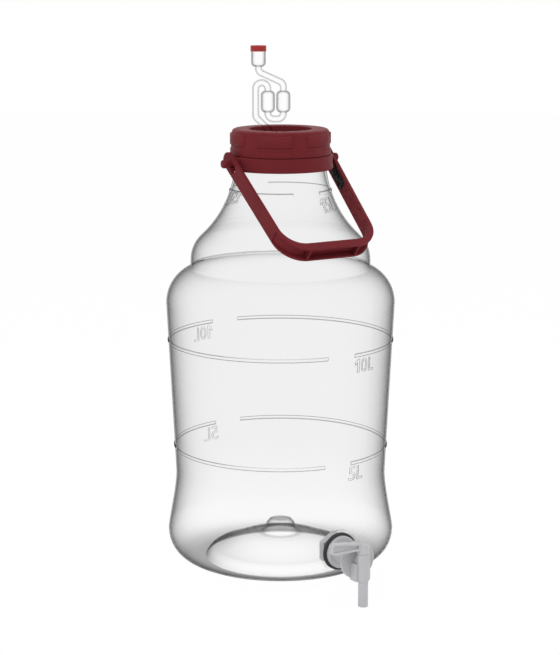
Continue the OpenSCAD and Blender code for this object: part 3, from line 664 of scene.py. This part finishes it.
@dataclass
class RaisedLabel:
    """A volume mark moulded on the wall as the raised outline of its characters."""

    text: str
    top: float
    start: float
    width: float
    height: float = 14.5 * MM
    line: float = 0.24 * MM
    proud: float = 0.45 * MM
    flank: float = 0.15 * MM
    root: float = 0.2 * MM

    def outlines(self) -> list[list[Vector]]:
        """Lay out the characters side by side.

        Returns:
            Each closed outline, flat and to size, in metres.
        """
        unit = self.width / (sum(CELLS[c] for c in self.text) + CELL_GAP * (len(self.text) - 1))
        loops, left = [], 0.0
        for character in self.text:
            wide = CELLS[character] * unit
            loops += self.glyph(character, left, wide)
            left += wide + CELL_GAP * unit
        return loops

    def glyph(self, character: str, start: float, wide: float) -> list[list[Vector]]:
        """Give each closed outline of one character.

        Args:
            character: The character.
            start: Left side of its cell, in metres.
            wide: Width of its cell, in metres.

        Returns:
            The outlines.
        """
        if character == "1":
            return [[Vector((start + x * wide, y * self.height, 0.0)) for x, y in FIGURE_ONE]]
        data = bpy.data.curves.new(character, "FONT")
        data.body = character
        data.fill_mode = "NONE"
        data.resolution_u = CURVE_STEPS
        holder = bpy.data.objects.new(character, data)
        mesh = bpy.data.meshes.new_from_object(holder)
        bm = bmesh.new()
        bm.from_mesh(mesh)
        bmesh.ops.remove_doubles(bm, verts=bm.verts, dist=FONT_WELD)
        low = Vector((min(v.co.x for v in bm.verts), min(v.co.y for v in bm.verts), 0.0))
        high = Vector((max(v.co.x for v in bm.verts), max(v.co.y for v in bm.verts), 0.0))
        scale = Vector((wide / (high.x - low.x), self.height / (high.y - low.y), 0.0))
        shift = Vector((start, 0.0, 0.0))
        loops = [[(point - low) * scale + shift for point in loop]
                 for loop in self.closed_loops(bm) if len(loop) > 2]
        bm.free()
        bpy.data.meshes.remove(mesh)
        bpy.data.objects.remove(holder)
        bpy.data.curves.remove(data)
        return loops

    @staticmethod
    def closed_loops(bm: bmesh.types.BMesh) -> list[list[Vector]]:
        """Follow the edges of a mesh that is made of closed loops alone.

        Args:
            bm: The mesh.

        Returns:
            The points of each loop, in order.
        """
        loops, left = [], dict.fromkeys(bm.verts)
        while left:
            vert, loop = next(iter(left)), []
            while vert is not None:
                del left[vert]
                loop.append(vert.co.copy())
                beside = [edge.other_vert(vert) for edge in vert.link_edges]
                vert = next((other for other in beside if other in left), None)
            loops.append(loop)
        return loops

    def build(self, wall: Wall, face: Face, material: bpy.types.Material) -> bpy.types.Object:
        """Wrap the label on the wall.

        Args:
            wall: Outside of the bottle.
            face: Side of the bottle that carries it.
            material: Its finish.

        Returns:
            The piece.
        """
        bm = bmesh.new()
        middle, _ = wall.at(face.value, self.top - self.height / 2)
        radius = math.hypot(middle.x, middle.y)
        section = mirrored([(-self.line, -self.root), (-self.line, self.flank),
                            (-self.line / 2, self.proud)])
        for loop in self.outlines():
            stations = []
            for place in loop:
                angle = face.value + math.radians(self.start) + place.x / radius
                stations.append(Station(*wall.at(angle, self.top - self.height + place.y)))
            sweep(bm, stations, section, closed=True)
        name = f"mark_{self.text}_{face.name.lower()}"
        return finished(name, bm, "vessel", material)


LABELS = (RaisedLabel("5L", top=122.3 * MM, start=7.0, width=20.0 * MM),
          RaisedLabel("10L", top=237.6 * MM, start=8.4, width=28.0 * MM),
          RaisedLabel("15L", top=396.5 * MM, start=15.0, width=24.0 * MM))


# ---- screw cap ------------------------------------------------------------------------------

ROUNDING_STEP = math.radians(18)


def rounded_outline(corners: list[tuple[float, float, float]]) -> list[Point]:
    """Round the corners of a closed outline.

    Args:
        corners: Place and rounding radius of each corner, in millimetres.

    Returns:
        The points of the outline, in metres.
    """
    points: list[Point] = []
    for i, (x, y, radius) in enumerate(corners):
        corner = Vector((x, y))
        back = (Vector(corners[i - 1][:2]) - corner).normalized()
        ahead = (Vector(corners[(i + 1) % len(corners)][:2]) - corner).normalized()
        half = math.acos(max(-1.0, min(1.0, back.dot(ahead)))) / 2
        centre = corner + (back + ahead).normalized() * radius / math.sin(half)
        first = corner + back * radius / math.tan(half) - centre
        last = corner + ahead * radius / math.tan(half) - centre
        turn = first.angle_signed(last)
        steps = max(2, math.ceil(abs(turn) / ROUNDING_STEP))
        for k in range(steps + 1):
            arm = first.copy()
            arm.rotate(Matrix.Rotation(-turn * k / steps, 2))
            points.append(((centre + arm).x * MM, (centre + arm).y * MM))
    return points


@dataclass
class CapShell:
    """The screw cap: skirt, lower band, grip pads, dished top and the well for the airlock.

    Its sizes are in millimetres and degrees.
    """

    foot_z: float = 439.3
    top_z: float = 466.0
    top_r: float = 51.1
    top_wall: float = 2.4
    top_round: float = 3.8
    recess_r: float = 33.0
    recess_z: float = 458.0
    recess_round: float = 1.1
    well_r: float = 22.0
    well_z: float = 446.0
    wall: float = 2.0
    hole_r: float = 6.85
    skirt_r: float = 49.2
    band_r: float = 53.0
    band_top: float = 445.8
    band_step: float = 0.5
    side_r: float = 52.2
    ring_r: float = 42.2
    ring_wall: float = 2.0
    round_steps: int = 168
    pads: int = 6
    pad_angle: float = 43.0
    pad_start: float = 21.4
    pad_low: float = 449.4
    pad_high: float = 462.2
    pad_r: float = 51.75
    pad_proud: float = 1.55
    pad_edge: float = 0.1
    pad_root: float = 1.2
    pad_steps: int = 36
    pad_ends: tuple[float, ...] = (0.15, 0.62, 0.93)

    def outline(self) -> list[Point]:
        """Lay out the cap's section, from the foot of the skirt up and inwards.

        Returns:
            The points of the section, from the axis and up, in metres.
        """
        floor, under = self.recess_z - self.wall, self.top_z - self.top_wall
        ring_out = self.ring_r + self.ring_wall
        return rounded_outline([
            (self.skirt_r, self.foot_z, 0.3), (self.band_r, self.foot_z, 0.7),
            (self.band_r, self.band_top, 0.6), (self.side_r, self.band_top + self.band_step, 0.3),
            (self.top_r, self.top_z, self.top_round),
            (self.recess_r, self.top_z, self.recess_round),
            (self.recess_r, self.recess_z, 0.8), (self.well_r, self.recess_z, 0.8),
            (self.well_r, self.well_z, 0.8), (self.hole_r, self.well_z, 0.2),
            (self.hole_r, self.well_z - self.wall, 0.2),
            (self.well_r + self.wall, self.well_z - self.wall, 0.8),
            (self.well_r + self.wall, floor, 0.5), (self.recess_r + self.wall, floor, 0.8),
            (self.recess_r + self.wall, under, 0.5), (self.ring_r, under, 0.5),
            (self.ring_r, floor, 0.5), (ring_out, floor, 0.5), (ring_out, under, 0.5),
            (self.skirt_r, under, 0.5)])

    def pad(self, bm: bmesh.types.BMesh, start: float) -> None:
        """Add one grip pad whose edges and ends are eased.

        Args:
            bm: Mesh of the cap.
            start: Direction of its first end in degrees.
        """
        half = (self.pad_high - self.pad_low) / 2 * MM
        proud, edge, root = self.pad_proud * MM, self.pad_edge * MM, self.pad_root * MM
        section = [(-half, -root), (-half, edge), (-half * 0.95, proud * 0.7),
                   (-half * 0.87, proud), (half * 0.78, proud), (half * 0.9, proud * 0.75),
                   (half, edge), (half, -root)]
        stations = []
        for i in range(self.pad_steps + 1):
            out = spoke(start + self.pad_angle * i / self.pad_steps)
            middle = out * self.pad_r * MM
            middle.z = (self.pad_low + self.pad_high) / 2 * MM
            end = min(i, self.pad_steps - i)
            share = self.pad_ends[end] if end < len(self.pad_ends) else 1.0
            stations.append(Station(middle, out, height=share))
        sweep(bm, stations, section, closed=False)

    def build(self, material: bpy.types.Material) -> bpy.types.Object:
        """Make the cap, which stands for the plain one.

        Args:
            material: Its finish.

        Returns:
            The piece.
        """
        bm = bmesh.new()
        verts = [bm.verts.new((x, 0.0, z)) for x, z in self.outline()]
        edges = [bm.edges.new((verts[i - 1], verts[i])) for i in range(len(verts))]
        bmesh.ops.spin(bm, geom=verts + edges, cent=(0.0, 0.0, 0.0), axis=(0.0, 0.0, 1.0),
                       angle=math.tau, steps=self.round_steps, use_merge=True)
        for i in range(self.pads):
            self.pad(bm, self.pad_start - 90 - self.pad_angle / 2 + i * 360 / self.pads)
        piece = finished("cap_shell", bm, "lid", material)
        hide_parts("screw_cap")
        return piece


# ---- carrying handle ------------------------------------------------------------------------

class Arm(Enum):
    """Arm of the carrying handle, with the sign of its x."""

    LEFT = -1
    RIGHT = 1


@dataclass
class ArmPad:
    """A thin near-black sheet on the inner face of one arm of the carrying handle."""

    arm: Arm
    near: float = 13.5 * MM
    far: float = 45.0 * MM
    width: float = 12.5 * MM
    thickness: float = 0.25 * MM
    bevel: float = 0.3 * MM
    root: float = 0.1 * MM
    pivot_z: float = 432.3 * MM
    grip_from: float = 110.0 * MM
    steps: int = 28
    least_width: float = 0.02

    def along(self) -> Vector:
        """Give the way from the pivots to the middle of the grip.

        Returns:
            The unit vector.
        """
        pivot = Vector((0.0, 0.0, self.pivot_z))
        grip = [vert.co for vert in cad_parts["bail_handle"].data.vertices
                if (vert.co - pivot).yz.length > self.grip_from]
        along = sum(grip, Vector()) / len(grip) - pivot
        along.x = 0.0
        return along.normalized()

    def build(self, material: bpy.types.Material) -> bpy.types.Object:
        """Lay the sheet along the arm, from below the pivot.

        Args:
            material: Its finish.

        Returns:
            The piece.
        """
        tree, along = search_tree("bail_handle"), self.along()
        pivot = Vector((0.0, 0.0, self.pivot_z))
        way = Vector((self.arm.value, 0.0, 0.0))
        half = self.width / 2
        stations = []
        for i in range(self.steps + 1):
            reach = self.near + (self.far - self.near) * i / self.steps
            hit = tree.ray_cast(pivot + along * reach, way)[0]
            gap = max(0.0, half - min(reach - self.near, self.far - reach))
            wide = math.sqrt(max(self.least_width, 1.0 - (gap / half) ** 2))
            stations.append(Station(hit, -way, width=wide))
        section = mirrored([(-half, -self.root), (-half, self.thickness * 0.6),
                            (-half + self.bevel, self.thickness)])
        bm = bmesh.new()
        sweep(bm, stations, section, closed=False)
        name = f"arm_dark_sheet_{self.arm.name.lower()}"
        return finished(name, bm, "bail", material)


# ---- threads --------------------------------------------------------------------------------

@dataclass
class Thread:
    """A right-handed thread that fades out at both ends."""

    name: str
    body: str
    slot: str
    radius: float
    proud: float
    foot_z: float
    turns: float
    start: float = 0.0
    lead: float = 6.0 * MM
    base: float = 1.35 * MM
    crest: float = 0.55 * MM
    root: float = 0.25 * MM
    inward: bool = False
    fade: float = 25.0
    least_height: float = 0.08
    step: float = 5.0

    def build(self, material: bpy.types.Material) -> bpy.types.Object:
        """Make the thread.

        Args:
            material: Its finish.

        Returns:
            The piece.
        """
        bm = bmesh.new()
        total = 360.0 * self.turns
        steps = int(total / self.step)
        stations = []
        for i in range(steps + 1):
            swept = total * i / steps
            out = spoke(self.start + swept)
            middle = out * self.radius
            middle.z = self.foot_z + self.lead * swept / 360.0
            share = min(1.0, swept / self.fade, (total - swept) / self.fade)
            stations.append(Station(middle, -out if self.inward else out,
                                    height=max(self.least_height, share)))
        section = mirrored([(-self.base, -self.root), (-self.base, 0.0),
                            (-self.crest, self.proud)])
        sweep(bm, stations, section, closed=False)
        return finished(self.name, bm, self.body, material, smooth=False)


THREADS = (Thread("neck_thread", "vessel", "clear_pet", radius=47.4 * MM, proud=1.35 * MM,
                  foot_z=444.0 * MM, turns=2.0),
           Thread("cap_thread", "lid", "dark_red_plastic", radius=49.2 * MM, proud=1.5 * MM,
                  foot_z=442.0 * MM, turns=1.9, start=60.0, inward=True))


# ---- studio ---------------------------------------------------------------------------------

@dataclass(frozen=True)
class Lamp:
    """One square lamp that faces the object, with its side in metres and its power in watts."""

    name: str
    place: tuple[float, float, float]
    side: float
    power: float
    aim_z: float = 0.25

    def build(self) -> None:
        """Hang the lamp."""
        data = bpy.data.lights.new(self.name, "AREA")
        data.shape, data.size, data.energy = "SQUARE", self.side, self.power
        lamp = add_object(self.name, data)
        lamp.location = self.place
        aim = Vector((0.0, 0.0, self.aim_z)) - Vector(self.place)
        lamp.rotation_euler = aim.to_track_quat("-Z", "Y").to_euler()


LAMPS = (Lamp("key_lamp", (-1.6, -1.2, 1.8), 1.4, 22.0),
         Lamp("fill_lamp", (1.7, -1.0, 0.9), 1.4, 8.0),
         Lamp("top_lamp", (0.2, 0.5, 2.2), 1.6, 12.0))


@dataclass
class Studio:
    """Floor, lamps and camera."""

    camera_place: tuple[float, float, float] = (-1.052, -1.709, 0.650)
    camera_tilt: float = 78.81
    camera_turn: float = -31.6
    lens: float = 105.0
    sensor: float = 36.0
    room_grey: float = 0.62
    floor_grey: float = 0.94
    floor_glow: float = 0.972
    floor_r: float = 6.0
    floor_z: float = -11.8 * MM
    floor_depth: float = 10.0 * MM
    riser_r: float = 83.0 * MM
    riser_gap: float = 0.02 * MM
    disc_steps: int = 128

    def world(self) -> None:
        """Light the room evenly and show plain white behind the object."""
        world = bpy.data.worlds.new("room")
        bpy.context.scene.world = world
        world.use_nodes = True
        tree = world.node_tree
        tree.nodes.clear()
        path = add_node(tree, "LightPath").outputs
        seen = maths(tree, "MAXIMUM", path["Is Camera Ray"], path["Is Glossy Ray"])
        seen = maths(tree, "MAXIMUM", seen, path["Is Transmission Ray"])
        room = add_node(tree, "Background", in_Color=grey(self.room_grey))
        white = add_node(tree, "Background", in_Color=grey(1.0))
        add_node(tree, "OutputWorld", in_Surface=mix_shaders(tree, seen, room, white))

    def floor(self) -> None:
        """Lay the floor and the low riser that the bottle stands on."""
        material, tree = new_material("floor_white")
        path = add_node(tree, "LightPath").outputs
        matt = add_node(tree, "BsdfDiffuse", in_Color=grey(self.floor_grey))
        glow = add_node(tree, "Emission", in_Color=grey(1.0))
        seen = maths(tree, "SUBTRACT", 1.0, path["Is Diffuse Ray"])
        share = maths(tree, "MULTIPLY", seen, self.floor_glow)
        surface(tree, mix_shaders(tree, share, matt, glow))
        for name, radius, low, high in (
                ("floor", self.floor_r, self.floor_z - self.floor_depth, self.floor_z),
                ("riser", self.riser_r, self.floor_z, -self.riser_gap)):
            bm = bmesh.new()
            bmesh.ops.create_cone(bm, cap_ends=True, segments=self.disc_steps, radius1=radius,
                                  radius2=radius, depth=high - low,
                                  matrix=Matrix.Translation((0.0, 0.0, (low + high) / 2)))
            piece = mesh_object(name, bm, material)

    def camera(self) -> None:
        """Stand the camera in front and a little to the left."""
        data = bpy.data.cameras.new("camera")
        data.lens, data.sensor_width, data.sensor_fit = self.lens, self.sensor, "AUTO"
        camera = add_object("camera", data)
        camera.location = self.camera_place
        camera.rotation_euler = (math.radians(self.camera_tilt), 0.0,
                                 math.radians(self.camera_turn))
        bpy.context.scene.camera = camera

    def build(self) -> None:
        """Set up the whole studio."""
        bpy.context.scene.view_settings.view_transform = "Standard"
        self.camera()
        self.world()
        self.floor()
        for lamp in LAMPS:
            lamp.build()


def dress_nodes() -> dict[str, bpy.types.Material]:
    """Give each carried-over node its finish.

    Returns:
        The materials by name.
    """
    built: dict[str, bpy.types.Material] = {}
    for name, finish in NODE_FINISHES.items():
        if finish.name not in built:
            built[finish.name] = finish.build()
        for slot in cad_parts[name].material_slots:
            slot.material = built[finish.name]
        log.info("%s: %s", name, finish.name)
    return built


def main() -> None:
    """Build the object and its studio."""
    logging.basicConfig(level=logging.INFO, format="%(message)s")
    Studio().build()
    built = dress_nodes()
    raised = RAISED_PET.build()
    wall = Wall()
    for face in Face:
        for label in LABELS:
            label.build(wall, face, raised)
    CapShell().build(built["dark_red_plastic"])
    pad = ARM_SHEET_BLACK.build()
    for arm in Arm:
        ArmPad(arm).build(pad)
    for thread in THREADS:
        thread.build(built[thread.slot])


if __name__ == "__main__":
    main()
